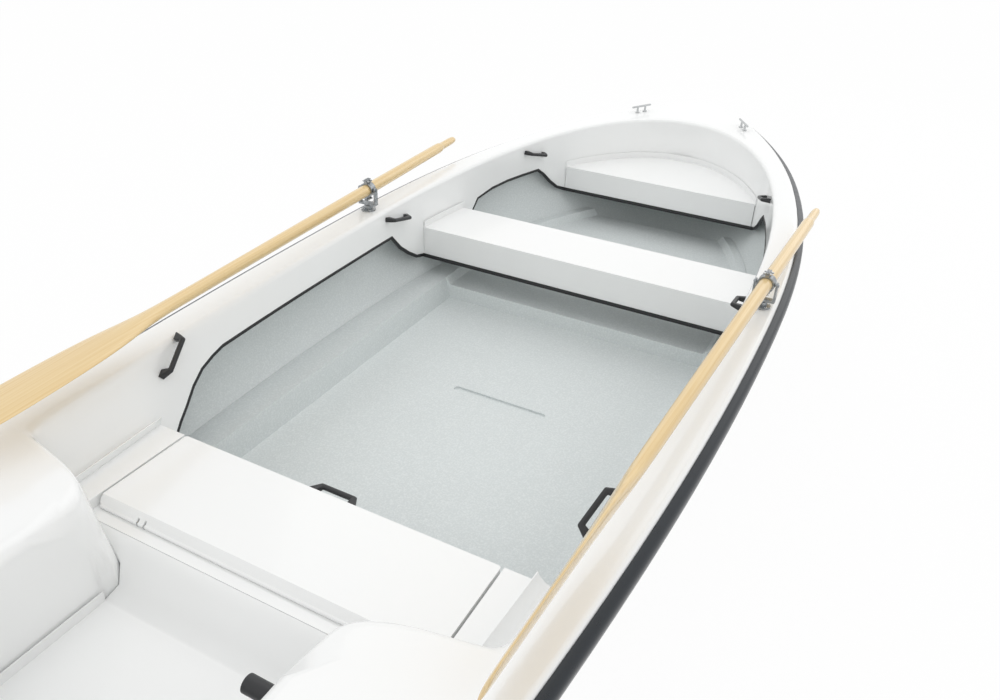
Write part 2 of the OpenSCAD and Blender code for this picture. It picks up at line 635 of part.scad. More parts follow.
// Heading of each oar as it lies stowed: its blade is this many degrees inboard
stow_port = 4;
stow_starboard = 2.1;
module fork(side, turn) {
    color(STEEL) at_lock(side) rotate([0, 0, turn]) difference() {
        union() {
            translate([0, 0, 4]) cylinder(d = stem_d, h = fork_foot, $fn = 48);
            translate([0, 0, fork_foot]) cylinder(d = 26, h = 8, $fn = 48);
            translate([-cheek_w/2, -cheek_y - cheek_t, fork_foot]) cube([cheek_w, 2*(cheek_y + cheek_t), 8]);
            for (s = [-1, 1]) {
                translate([-cheek_w/2, s*(cheek_y + cheek_t/2) - cheek_t/2, fork_foot])
                    cube([cheek_w, cheek_t, lock_h - fork_foot]);
                translate([0, s*(cheek_y + cheek_t/2), lock_h]) rotate([90, 0, 0])
                    cylinder(d = cheek_w, h = cheek_t, center = true, $fn = 48);
            }
        }
        translate([0, 0, lock_h]) rotate([90, 0, 0])
            cylinder(d = pin_d + 2*running, h = 4*cheek_y, center = true, $fn = 48);
    }
}
module oar_clamp(side, turn) {
    color(STEEL) at_lock(side, deck_z + lock_h) rotate([0, 0, turn]) difference() {
        union() {
            rotate([0, 90, 0]) cylinder(r = ring_r, h = ring_w, center = true, $fn = 64);
            translate([-ring_w/2, -6, -ring_r - ear_h]) cube([ring_w, 12, 2*(ring_r + ear_h)]);
            rotate([90, 0, 0]) cylinder(d = pin_d, h = 2*(cheek_y + cheek_t + 3), center = true, $fn = 48);
        }
        rotate([0, 90, 0]) cylinder(d = shaft_d + 2*ring_gap, h = 2*ring_w, center = true, $fn = 64);
        for (s = [-1, 1]) translate([0, 0, s*(ring_r + ear_h/2 + 30)])
            cube([2*ring_w, ear_split, 2*30 + ear_h - 14], center = true);
    }
}

// Shape of an oar, from the grip's end to the blade's tip
// Columns: distance from the grip's end, half width, half thickness
neck = oar_len - blade_len;
oar_shape = [[0, grip_d/2 - 5, grip_d/2 - 5], [6, grip_d/2, grip_d/2], [grip_len, grip_d/2, grip_d/2],
    [grip_len + 20, shaft_d/2 - 1, shaft_d/2 - 1], [oar_inboard - 60, shaft_d/2, shaft_d/2],
    [oar_inboard + 60, shaft_d/2, shaft_d/2], [neck - 120, shaft_d/2 - 3, shaft_d/2 - 3],
    [neck, 0.27*blade_w/2 + 6, 17], [neck + 0.12*blade_len, 0.52*blade_w/2, 14],
    [neck + 0.28*blade_len, 0.8*blade_w/2, 11], [neck + 0.5*blade_len, 0.95*blade_w/2, 8],
    [neck + 0.8*blade_len, blade_w/2, 6.5], [oar_len - 24, blade_w/2 - 3, 6],
    [oar_len - 6, blade_w/2 - 18, 5], [oar_len, blade_w/2 - 32, 4]];
oar_sides = 16;
module oar_body() {
    color(PINE) loft([for (row = oar_shape)
        [for (k = [0 : oar_sides - 1]) let (a = 360*(k + 0.5)/oar_sides)
            [oar_inboard - row[0], row[1]*cos(a), row[2]*sin(a)]]]);
}
module stowed_oar(side, turn, feather) {
    at_lock(side, deck_z + lock_h) rotate([0, 0, turn]) rotate([feather, 0, 0]) oar_body();
}

module socket_port() socket(1);
module socket_starboard() socket(-1);
module oarlock_port() fork(1, stow_port);
module oarlock_starboard() fork(-1, -stow_starboard);
module clamp_port() oar_clamp(1, stow_port);
module clamp_starboard() oar_clamp(-1, -stow_starboard);
module oar_port() stowed_oar(1, stow_port, 0);
module oar_starboard() stowed_oar(-1, -stow_starboard, 107);

hull_shell();
floor_pan();
keel();
bilge_runners();
gunwale_deck();
transom_cap();
bow_seat();
middle_thwart();
aft_seat();
aft_well();
lid();
lid_hinges();
lid_handle();
rubbing_strake();
cockpit_trim();
fore_trim();
handle_port_bow();
handle_port_mid();
handle_port_aft();
handle_starboard_bow();
handle_starboard_mid();
handle_starboard_aft();
bow_cleats();
well_spigot();
bow_eye();
drain_plug();
socket_port();
socket_starboard();
oarlock_port();
oarlock_starboard();
clamp_port();
clamp_starboard();
oar_port();
oar_starboard();
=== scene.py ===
"""Glass fibre rowing boat: its finishes, its small fittings and the stage that it stands on."""

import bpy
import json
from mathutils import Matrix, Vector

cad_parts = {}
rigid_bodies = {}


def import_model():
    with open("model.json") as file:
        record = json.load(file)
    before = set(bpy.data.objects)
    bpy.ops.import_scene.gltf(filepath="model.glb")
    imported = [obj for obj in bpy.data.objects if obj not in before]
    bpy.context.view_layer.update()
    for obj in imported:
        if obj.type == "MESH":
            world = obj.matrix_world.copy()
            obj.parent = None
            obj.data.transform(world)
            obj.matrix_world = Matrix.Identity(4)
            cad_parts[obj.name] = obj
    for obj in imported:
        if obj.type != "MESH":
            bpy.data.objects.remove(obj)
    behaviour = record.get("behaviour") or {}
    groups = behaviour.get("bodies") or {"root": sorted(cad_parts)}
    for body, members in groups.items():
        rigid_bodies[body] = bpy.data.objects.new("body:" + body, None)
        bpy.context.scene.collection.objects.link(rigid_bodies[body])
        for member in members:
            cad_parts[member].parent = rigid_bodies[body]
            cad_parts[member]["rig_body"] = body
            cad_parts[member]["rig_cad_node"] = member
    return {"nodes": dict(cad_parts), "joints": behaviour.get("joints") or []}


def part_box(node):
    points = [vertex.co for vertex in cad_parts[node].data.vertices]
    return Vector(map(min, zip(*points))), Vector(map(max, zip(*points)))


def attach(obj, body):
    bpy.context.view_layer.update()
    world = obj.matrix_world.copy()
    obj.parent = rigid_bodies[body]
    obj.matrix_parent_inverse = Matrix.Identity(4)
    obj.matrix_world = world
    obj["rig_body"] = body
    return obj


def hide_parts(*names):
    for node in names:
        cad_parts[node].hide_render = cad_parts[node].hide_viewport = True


bl_info = {
    "name": "Glass fibre rowing boat",
    "version": (1, 0, 0),
    "blender": (4, 5, 0),
    "location": "3D View > Sidebar > Boat",
    "description": "Dresses a rowing boat's frame with gelcoat, flow coat, rubber, wood and metal",
    "category": "Object",
}

import json
import math

import bpy
import numpy as np
from bpy.props import FloatProperty, FloatVectorProperty, PointerProperty
from bpy.types import Operator, Panel, PropertyGroup
from mathutils import Matrix, Vector

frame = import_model()
NODES = frame["nodes"]
JOINTS = {joint["name"]: joint for joint in frame["joints"]}
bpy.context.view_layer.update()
MM = 0.001
SIDES = (("port", 1), ("starboard", -1))

COCKPIT_HEIGHT = 0.62  # middle of the cockpit's height: faces that look towards it are inside
GROOVE_SETBACK = 0.585  # from the thwart's aft face to the groove in the floor
WELL_CORNER = 20 * MM  # corner of the seat's pocket, aft of the well's mouth
WELL_REACH = 130 * MM  # how far its softening reaches along the boat
WELL_HALF_WIDTH = 660 * MM
BOLT_PITCH = 16 * MM
BOLT_INSET = 6 * MM  # from the top and the foot of a clamp's lug
BOLT_GRIP, BOLT_LENGTH = 22 * MM, 29 * MM  # over the heads, and over the ends of the thread
SCREW_CIRCLE = 21 * MM
GRIP_STEP = (0.142, 0.118)  # the step of an oar's grip lies between these, from the inner end
KNOT = ((-1.49, -0.7, 0.755), 6 * MM)  # place and radius

CAMERA_PLACE = (-2.3702, -1.0565, 1.8331)
CAMERA_ANGLES = (26.661, 31.132, 2.283)  # heading, dip and roll in degrees
CAMERA_LENS = 30.03
AMBIENT = 0.97
PAPER_SHARE = 0.94  # how much of the paper's look is plain white
LAMPS = (  # name, place, aim, size in metres, power in watts
    ("overhead_softbox", (1.2, 0.6, 4.2), (0, 0, 0.4), 3.6, 20),
    ("bow_softbox", (5.2, -1.5, 2.8), (0.4, 0, 0.5), 2.4, 12),
)


def linear(code):
    """Turns an sRGB hex colour into linear red, green and blue."""
    parts = [int(code[i:i + 2], 16) / 255 for i in (1, 3, 5)]
    return [c / 12.92 if c <= 0.04045 else ((c + 0.055) / 1.055) ** 2.4 for c in parts]


def tint(name, code):
    return FloatVectorProperty(
        name=name, description=f"Colour of the {name.lower()}", subtype="COLOR",
        size=3, min=0, max=1, default=linear(code))


def length(name, description, millimetres):
    return FloatProperty(
        name=name, description=description, default=millimetres * MM, min=0, unit="LENGTH")


class BoatColours(PropertyGroup):
    """Colours of the boat's finishes."""

    gelcoat: tint("Gelcoat", "#F4F5F5")
    flow_coat: tint("Flow coat", "#D8DEDE")
    strake: tint("Rubbing strake", "#141B22")
    rubber: tint("Edge trim", "#17181A")
    nylon: tint("Nylon", "#1E1F21")
    stainless: tint("Stainless steel", "#C9CBCC")
    zinc: tint("Zinc plating", "#A6AAAD")
    pine: tint("Pine, light wood", "#E9CE98")
    pine_dark: tint("Pine, dark wood", "#D8B473")


class BoatSizes(PropertyGroup):
    """Sizes of what is added to the frame."""

    moulding_round: length("Moulding edges", "Radius on the edges of the mouldings", 7)
    floor_round: length("Floor edges", "Radius on the edges of the floor and its ledges", 30)
    lid_round: length("Lid edges", "Radius on the edges of the locker lid", 6)
    cove: length("Coves", "Radius of the coves between the seats and the side walls", 28)
    groove_length: length("Groove length", "Length of the groove across the floor", 350)
    groove_width: length("Groove width", "Width of the groove across the floor", 27)
    groove_depth: length("Groove depth", "Depth of the groove across the floor", 7)
    bolt: length("Bolts", "Thread diameter of the clamp bolts", 5)
    screw: length("Screws", "Head diameter of the screws in the fittings", 9)


def alone(piece):
    """Selects one object and makes it active."""
    bpy.ops.object.select_all(action="DESELECT")
    piece.select_set(True)
    bpy.context.view_layer.objects.active = piece


def pick(piece, kind, test):
    """Enters edit mode with the vertices, edges or faces that pass a test selected."""
    alone(piece)
    bpy.ops.object.mode_set(mode="EDIT")
    bpy.ops.mesh.select_mode(type=kind)
    bpy.ops.mesh.select_all(action="DESELECT")
    bpy.ops.object.mode_set(mode="OBJECT")
    elements = {"VERT": piece.data.vertices, "EDGE": piece.data.edges, "FACE": piece.data.polygons}
    for element in elements[kind]:
        element.select = test(element)
    bpy.ops.object.mode_set(mode="EDIT")


def object_mode():
    bpy.ops.object.mode_set(mode="OBJECT")


def modify(piece, kind, **settings):
    """Adds a modifier and applies it."""
    alone(piece)
    modifier = piece.modifiers.new(kind.title(), kind)
    for name, value in settings.items():
        setattr(modifier, name, value)
    bpy.ops.object.modifier_apply(modifier=modifier.name)


def frame_copy(node, name):
    """Copies a frame node's mesh and merges its loose triangles into quads."""
    alone(NODES[node])
    bpy.ops.object.duplicate()
    piece = bpy.context.active_object
    bpy.ops.object.parent_clear(type="CLEAR_KEEP_TRANSFORM")
    piece.name = piece.data.name = name
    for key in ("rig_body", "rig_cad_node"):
        del piece[key]
    piece.data.materials.clear()
    bpy.ops.mesh.customdata_custom_splitnormals_clear()
    bpy.ops.object.mode_set(mode="EDIT")
    bpy.ops.mesh.select_all(action="SELECT")
    bpy.ops.mesh.remove_doubles(threshold=0.05 * MM)
    bpy.ops.mesh.tris_convert_to_quads(
        face_threshold=math.radians(35), shape_threshold=math.radians(75))
    object_mode()
    return piece


def merge_flats(piece):
    """Merges the faces of a piece that lie in one plane."""
    alone(piece)
    bpy.ops.object.mode_set(mode="EDIT")
    bpy.ops.mesh.select_all(action="SELECT")
    bpy.ops.mesh.dissolve_limited(angle_limit=math.radians(1))
    object_mode()


def round_edges(piece, radius, from_angle=30, segments=3):
    modify(piece, "BEVEL", width=radius, segments=segments, limit_method="ANGLE",
           angle_limit=math.radians(from_angle), use_clamp_overlap=True)


def handle_frame(node, out):
    """Place of a grab handle: X along its grip, Y out of its wall, from its middle."""
    points = np.array([vertex.co for vertex in NODES[node].data.vertices])
    centre = points.mean(axis=0)
    along = Vector(np.linalg.svd(points - centre)[2][0])
    out = (out - along * out.dot(along)).normalized()
    turn = Matrix((along, out, along.cross(out))).transposed()
    return Matrix.Translation(centre) @ turn.to_4x4()


def soften(piece, step, passes):
    """Runs a piece's forms into each other, as in a moulding or a casting."""
    modify(piece, "REMESH", mode="VOXEL", voxel_size=step)
    modify(piece, "SMOOTH", factor=0.5, iterations=passes)


def smooth(piece, angle=40):
    """Shades a piece smooth up to an angle, with flat faces kept flat."""
    alone(piece)
    bpy.ops.object.shade_smooth_by_angle(angle=math.radians(angle))
    modify(piece, "WEIGHTED_NORMAL", keep_sharp=True, weight=100)


def hand_over(piece, body, material, slot, *nodes):
    """Gives a finished piece its material and its body, and hides the frame nodes that it stands
    in for.
    """
    if material is not None:
        piece.data.materials.clear()
        piece.data.materials.append(material)
    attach(piece, body)
    if nodes:
        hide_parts(*nodes)
    return piece


def body_of(node):
    return NODES[node]["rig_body"]


def join(pieces, name):
    bpy.ops.object.select_all(action="DESELECT")
    for piece in pieces:
        piece.select_set(True)
    bpy.context.view_layer.objects.active = pieces[0]
    bpy.ops.object.join()
    pieces[0].name = pieces[0].data.name = name
    return pieces[0]


def settle(piece, matrix=None):
    """Puts a piece in its place and moves that place into its mesh."""
    alone(piece)
    if matrix is not None:
        piece.matrix_world = matrix @ piece.matrix_world
    bpy.ops.object.transform_apply(location=True, rotation=True, scale=True)
    return piece


def drum(radius, depth, sides=32, at=(0, 0, 0)):
    bpy.ops.mesh.primitive_cylinder_add(vertices=sides, radius=radius, depth=depth, location=at)
    return bpy.context.active_object


# Shader nodes

def add(tree, kind, inputs=None, **settings):
    """Adds a node with its settings; inputs are values, or the sockets that they come from."""
    made = tree.nodes.new(kind)
    for name, value in settings.items():
        setattr(made, name, value)
    for socket, value in (inputs or {}).items():
        if isinstance(value, bpy.types.NodeSocket):
            tree.links.new(value, made.inputs[socket])
        else:
            made.inputs[socket].default_value = value
    return made


def new_material(name):
    """A material with a plain Principled surface, its tree, its shader and object coordinates."""
    material = bpy.data.materials.new(name)
    material.use_nodes = True
    tree = material.node_tree
    shader = tree.nodes["Principled BSDF"]
    place = add(tree, "ShaderNodeTexCoord").outputs["Object"]
    return material, tree, shader, place


def per_metre(millimetres):
    """Texture scale at which one feature is this many millimetres across."""
    return 1 / (millimetres * MM)


def noise(tree, place, millimetres, detail=2.0, rough=0.5):
    return add(tree, "ShaderNodeTexNoise", {
        "Vector": place, "Scale": per_metre(millimetres), "Detail": detail, "Roughness": rough,
    }).outputs["Fac"]


def ramp(tree, value, start, end, low=0.0, high=1.0):
    """Spreads the part of a value from start to end between two others, and clamps the rest."""
    return add(tree, "ShaderNodeMapRange", {
        "Value": value, "From Min": start, "From Max": end, "To Min": low, "To Max": high,
    }).outputs["Result"]


def between(tree, factor, low, high):
    """Spreads a 0 to 1 value between two others."""
    return ramp(tree, factor, 0, 1, low, high)


def blend_colour(tree, factor, first, second):
    mix = add(tree, "ShaderNodeMix", data_type="RGBA")
    tree.links.new(factor, mix.inputs["Factor"])
    for socket, value in ((mix.inputs[6], first), (mix.inputs[7], second)):
        if isinstance(value, bpy.types.NodeSocket):
            tree.links.new(value, socket)
        else:
            socket.default_value = (*value, 1)
    return mix.outputs[2]


def darker(colour, share):
    return [c * share for c in colour]


def relief(tree, shader, height, millimetres, strength=1.0):
    bump = add(tree, "ShaderNodeBump", {
        "Height": height, "Distance": millimetres * MM, "Strength": strength,
    })
    tree.links.new(bump.outputs["Normal"], shader.inputs["Normal"])


def gelcoat():
    """Polished gelcoat from a mould: deep gloss, a slight ripple, a hint of yellowing."""
    colours = bpy.context.scene.boat_colours
    material, tree, shader, place = new_material("Polished gelcoat")
    age = noise(tree, place, 420, 3)
    warm = [colours.gelcoat[0], colours.gelcoat[1] * 0.998, colours.gelcoat[2] * 0.988]
    tree.links.new(blend_colour(tree, age, colours.gelcoat, warm), shader.inputs["Base Color"])
    wear = noise(tree, place, 60, 4)
    tree.links.new(between(tree, wear, 0.1, 0.22), shader.inputs["Roughness"])
    relief(tree, shader, noise(tree, place, 35, 2), 0.12, 0.35)
    shader.inputs["IOR"].default_value = 1.5
    shader.inputs["Coat Weight"].default_value = 0.25
    shader.inputs["Coat Roughness"].default_value = 0.06
    return material


def flow_coat():
    """Flow coat over glass cloth and grit: grey, grainy underfoot, with fine glints."""
    colours = bpy.context.scene.boat_colours
    material, tree, shader, place = new_material("Gritted flow coat")
    # The grit is under 1 mm; it is drawn at 4 mm so that it shows
    cells = add(tree, "ShaderNodeTexVoronoi", {"Vector": place, "Scale": per_metre(4)})
    grit = cells.outputs["Distance"]
    patches = noise(tree, place, 150, 4)
    speck = noise(tree, place, 6, 3, 0.7)
    ground = blend_colour(tree, patches, colours.flow_coat, darker(colours.flow_coat, 0.95))
    flecked = blend_colour(tree, ramp(tree, speck, 0.45, 0.7), ground, linear("#E4E9E9"))
    tree.links.new(flecked, shader.inputs["Base Color"])
    tree.links.new(between(tree, speck, 0.28, 0.5), shader.inputs["Roughness"])
    relief(tree, shader, grit, 0.6, 0.5)
    shader.inputs["IOR"].default_value = 1.5
    return material


def rubber(name, colour, roughness):
    """Extruded rubber: dull, with a fine grain and a dusting of wear."""
    material, tree, shader, place = new_material(name)
    wear = noise(tree, place, 25, 4, 0.6)
    worn = blend_colour(tree, wear, colour, darker(colour, 1.5))
    tree.links.new(worn, shader.inputs["Base Color"])
    dull = between(tree, wear, roughness - 0.08, roughness + 0.08)
    tree.links.new(dull, shader.inputs["Roughness"])
    relief(tree, shader, noise(tree, place, 3, 2), 0.15, 0.4)
    shader.inputs["IOR"].default_value = 1.5
    return material


def nylon():
    """Moulded nylon: black, with the fine grain of a spark-eroded mould."""
    colours = bpy.context.scene.boat_colours
    material, tree, shader, place = new_material("Moulded nylon")
    scuff = noise(tree, place, 12, 3)
    scuffed = blend_colour(tree, scuff, colours.nylon, darker(colours.nylon, 1.6))
    tree.links.new(scuffed, shader.inputs["Base Color"])
    tree.links.new(between(tree, scuff, 0.32, 0.48), shader.inputs["Roughness"])
    relief(tree, shader, noise(tree, place, 1.2, 2), 0.08, 0.5)
    shader.inputs["IOR"].default_value = 1.53
    return material


def stainless():
    """Polished stainless steel: bright, with the faint cloudiness of handling."""
    colours = bpy.context.scene.boat_colours
    material, tree, shader, place = new_material("Polished stainless steel")
    cloud = noise(tree, place, 18, 3)
    clouded = blend_colour(tree, cloud, colours.stainless, darker(colours.stainless, 0.9))
    tree.links.new(clouded, shader.inputs["Base Color"])
    tree.links.new(between(tree, cloud, 0.12, 0.26), shader.inputs["Roughness"])
    relief(tree, shader, noise(tree, place, 2, 2), 0.02, 0.3)
    shader.inputs["Metallic"].default_value = 1
    return material


def zinc_plate():
    """Zinc plated casting: pale grey metal with crystals, some darker and duller than others."""
    colours = bpy.context.scene.boat_colours
    material, tree, shader, place = new_material("Zinc plated casting")
    crystals = add(tree, "ShaderNodeTexVoronoi", {"Vector": place, "Scale": per_metre(7)})
    parts = add(tree, "ShaderNodeSeparateColor", {"Color": crystals.outputs["Color"]})
    shade = parts.outputs["Red"]
    crystalline = blend_colour(tree, shade, colours.zinc, darker(colours.zinc, 0.72))
    tree.links.new(crystalline, shader.inputs["Base Color"])
    tree.links.new(between(tree, shade, 0.25, 0.45), shader.inputs["Roughness"])
    relief(tree, shader, noise(tree, place, 3, 3), 0.15, 0.5)
    shader.inputs["Metallic"].default_value = 1
    return material


def varnished_pine(name, heading, knots):
    """Varnished pine: pale, with long brown growth lines, a few knots and a clear gloss."""
    colours = bpy.context.scene.boat_colours
    material, tree, shader, place = new_material(name)
    turned = add(tree, "ShaderNodeMapping", {
        "Vector": place, "Rotation": (0, 0, -heading),
    }).outputs["Vector"]
    # Growth rings are 3 to 6 mm apart, drawn out a hundred times as long
    stretched = add(tree, "ShaderNodeMapping", {
        "Vector": turned, "Scale": (0.01, 1, 0.6),
    }).outputs["Vector"]
    rings = noise(tree, stretched, 5, 4, 0.6)
    line = ramp(tree, rings, 0.4, 0.75, high=0.75)
    wood = blend_colour(tree, line, colours.pine, colours.pine_dark)
    fibre = noise(tree, stretched, 1.2, 2)
    wood = blend_colour(tree, between(tree, fibre, 0, 0.2), wood, darker(colours.pine_dark, 0.8))
    for knot, radius in knots:
        reach = add(tree, "ShaderNodeVectorMath", {0: place, 1: knot}, operation="DISTANCE")
        core = ramp(tree, reach.outputs["Value"], 0.5 * radius, radius, 1, 0)
        wood = blend_colour(tree, core, wood, linear("#6E4421"))
    tree.links.new(wood, shader.inputs["Base Color"])
    tree.links.new(between(tree, rings, 0.28, 0.42), shader.inputs["Roughness"])
    relief(tree, shader, fibre, 0.08, 0.3)
    shader.inputs["IOR"].default_value = 1.5
    shader.inputs["Coat Weight"].default_value = 0.8
    shader.inputs["Coat Roughness"].default_value = 0.1
    return material


# Paths along the junctions of the mouldings

def rim(node, side, height=None, tolerance=0.3 * MM):
    """Points of a node's top edge on one side of the boat, from the stern forwards."""
    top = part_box(node)[1].z if height is None else height
    outermost = {}
    for vertex in NODES[node].data.vertices:
        if abs(vertex.co.z - top) < tolerance and vertex.co.y * side > 0:
            key = round(vertex.co.x, 3)
            if key not in outermost or abs(vertex.co.y) > abs(outermost[key].y):
                outermost[key] = vertex.co.copy()
    return [outermost[key] for key in sorted(outermost)]


def cove(name, points, radius, lean, out, gap=1 * MM):
    """A hollow fillet along a path: it fills the corner between a level face and a leaning wall,
    across the gap between them."""
    steps = 6
    arc = []
    for i in range(steps + 1):
        turn = math.pi / 2 * i / steps
        arc.append(Vector((radius * math.sin(turn) - radius, radius - radius * math.cos(turn), 0)))
    into_wall, into_face = 2 * MM, -1 * MM
    corner = [Vector((into_wall, radius, 0)), Vector((into_wall, into_face, 0)),
              Vector((-radius, into_face, 0))]
    shape = [Vector((p.x + gap + lean * max(0, p.y), p.y, 0)) for p in arc + corner]
    profile = outline_curve(name + "_profile", [Vector((out * p.x, p.y, 0)) for p in shape], True)
    path = outline_curve(name, points, False)
    path.data.twist_mode = "Z_UP"
    path.data.bevel_mode = "OBJECT"
    path.data.bevel_object = profile
    path.data.use_fill_caps = True
    alone(path)
    bpy.ops.object.convert(target="MESH")
    bpy.data.objects.remove(profile)
    return bpy.context.active_object


def outline_curve(name, points, closed):
    curve = bpy.data.curves.new(name, "CURVE")
    curve.dimensions = "3D"
    line = curve.splines.new("POLY")
    line.points.add(len(points) - 1)
    for point, place in zip(line.points, points):
        point.co = (*place, 1)
    line.use_cyclic_u = closed
    piece = bpy.data.objects.new(name, curve)
    bpy.context.scene.collection.objects.link(piece)
    return piece


class BOAT_OT_hull(Operator):
    """Gives the hull its gelcoat outside and its flow coat inside"""

    bl_idname = "boat.hull"
    bl_label = "Hull"

    def execute(self, context):
        white, grey = gelcoat(), flow_coat()
        piece = frame_copy("hull_shell", "hull")
        piece.data.materials.append(white)
        piece.data.materials.append(grey)
        for face in piece.data.polygons:
            inward = Vector((0, -face.center.y, COCKPIT_HEIGHT - face.center.z))
            if face.normal.dot(inward.normalized()) > 0.15:
                face.material_index = 1
        smooth(piece, 35)
        hand_over(piece, "boat", None, "gelcoat_white", "hull_shell")
        for node in ("keel", "bilge_runners"):
            part = frame_copy(node, node + "_moulding")
            round_edges(part, 3 * MM)
            smooth(part)
            hand_over(part, "boat", white, "gelcoat_white", node)
        floor = frame_copy("floor_pan", "floor_moulding")
        round_edges(floor, context.scene.boat_sizes.floor_round, 22, 4)
        self.cut_groove(floor, context.scene.boat_sizes)
        smooth(floor)
        hand_over(floor, "boat", grey, "flowcoat_grey", "floor_pan")
        return {"FINISHED"}

    def cut_groove(self, floor, sizes):
        """Cuts the groove across the floor, halfway between the thwart and the aft seat"""
        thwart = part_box("middle_thwart")[0].x
        top = min(face.center.z for face in floor.data.polygons
                  if face.normal.z > 0.99 and abs(face.center.y) < 0.2)
        height = 20 * MM
        bpy.ops.mesh.primitive_cylinder_add(
            vertices=24, radius=sizes.groove_width / 2, depth=height)
        cutter = bpy.context.active_object
        pick(cutter, "VERT", lambda v: v.co.x > 0)
        travel = sizes.groove_length - sizes.groove_width
        bpy.ops.transform.translate(value=(travel, 0, 0))
        object_mode()
        place = Matrix.Translation((
            thwart - GROOVE_SETBACK, -travel / 2, top + height / 2 - sizes.groove_depth))
        settle(cutter, place @ Matrix.Rotation(math.pi / 2, 4, "Z"))
        modify(floor, "BOOLEAN", operation="DIFFERENCE", object=cutter, solver="EXACT")
        bpy.data.objects.remove(cutter)


class BOAT_OT_mouldings(Operator):
    """Gives the deck, the seats and the well their gelcoat and their coves"""

    bl_idname = "boat.mouldings"
    bl_label = "Deck and seats"

    def execute(self, context):
        sizes = context.scene.boat_sizes
        white = bpy.data.materials["Polished gelcoat"]
        deck = frame_copy("gunwale_deck", "deck_moulding")
        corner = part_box("aft_well")[1].x - WELL_CORNER
        pick(deck, "FACE", lambda f: (
            abs(f.center.x - corner) < WELL_REACH and abs(f.center.y) < WELL_HALF_WIDTH))
        bpy.ops.mesh.subdivide(number_cuts=2)
        object_mode()
        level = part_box("aft_seat")[1].z + 20 * MM
        pick(deck, "VERT", lambda v: (
            abs(v.co.x - corner) < WELL_REACH + 10 * MM and abs(v.co.y) < WELL_HALF_WIDTH
            and v.co.z > level))
        bpy.ops.mesh.vertices_smooth(factor=0.5, repeat=10)
        object_mode()
        smooth(deck, 60)
        hand_over(deck, "boat", white, "gelcoat_white", "gunwale_deck")
        shares = {"transom_cap": 1, "bow_seat": 1.5, "middle_thwart": 1.5, "aft_seat": 0.6,
                  "aft_well": 0.4}
        for node, share in shares.items():
            piece = frame_copy(node, node + "_moulding")
            merge_flats(piece)
            round_edges(piece, share * sizes.moulding_round, 30, 4)
            smooth(piece)
            hand_over(piece, "boat", white, "gelcoat_white", node)
        self.coves(sizes.cove, white)
        lid = frame_copy("lid", "locker_lid_moulding")
        merge_flats(lid)
        round_edges(lid, sizes.lid_round, 40, 4)
        smooth(lid)
        hand_over(lid, "locker_lid", white, "gelcoat_white", "lid")
        return {"FINISHED"}

    def coves(self, radius, white):
        """Fills the corners between the seats and the side walls"""
        bow = rim("bow_seat", 1) + rim("bow_seat", -1)[::-1]
        made = [cove("bow_seat_cove", bow, radius, 0, 1)]
        for name, side in SIDES:
            ends = rim("middle_thwart", side)
            made.append(cove("thwart_cove_" + name, ends, radius, 0.12, side))
            strip = rim("aft_seat", side)
            made.append(cove("aft_seat_cove_" + name, strip, radius, 0.38, side, 12 * MM))
            foot = min(v.co.z for v in NODES["aft_well"].data.vertices)
            floor = rim("aft_well", side, foot + 8 * MM)
            made.append(cove("well_cove_" + name, floor, radius, 0, side, 3 * MM))
        for piece in made:
            smooth(piece)
            hand_over(piece, "boat", white, "gelcoat_white")


class BOAT_OT_rubber(Operator):
    """Gives the rubbing strake and the edge trims their rubber"""

    bl_idname = "boat.rubber"
    bl_label = "Strake and trims"

    def execute(self, context):
        colours = context.scene.boat_colours
        strake = frame_copy("rubbing_strake", "strake")
        smooth(strake, 50)
        black = rubber("Strake rubber", colours.strake, 0.3)
        hand_over(strake, "boat", black, "strake_rubber", "rubbing_strake")
        trim = rubber("Trim rubber", colours.rubber, 0.5)
        for node in ("cockpit_trim", "fore_trim"):
            piece = frame_copy(node, node + "_rubber")
            modify(piece, "DISPLACE", strength=1.5 * MM, mid_level=0)
            smooth(piece, 60)
            hand_over(piece, "boat", trim, "trim_rubber", node)
        return {"FINISHED"}


class BOAT_OT_handles(Operator):
    """Gives the grab handles, the spigot and the drain plug their nylon"""

    bl_idname = "boat.handles"
    bl_label = "Handles and spigot"

    def execute(self, context):
        black = nylon()
        for node in sorted(NODES):
            if "handle" in node or node in ("well_spigot", "drain_plug"):
                piece = frame_copy(node, node + "_nylon")
                if "handle" in node:
                    self.splay(piece, node)
                    soften(piece, 1.4 * MM, 10)
                else:
                    round_edges(piece, 1.5 * MM, 45, 2)
                smooth(piece, 45)
                hand_over(piece, body_of(node), black, "black_plastic", node)
        return {"FINISHED"}

    def splay(self, piece, node):
        """Draws the grip of a handle in, so that its legs splay down to their feet"""
        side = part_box(node)[0].y
        inboard = Vector((0, math.copysign(1, -side), 0))
        out = Vector((1, 0, 0)) if node == "lid_handle" else inboard
        place = handle_frame(node, out)
        settle(piece, place.inverted())
        foot = min(vertex.co.y for vertex in piece.data.vertices)
        pick(piece, "VERT", lambda v: v.co.y > foot + 15 * MM)
        bpy.ops.transform.resize(value=(0.84, 1, 1), center_override=(0, 0, 0))
        object_mode()
        settle(piece, place)


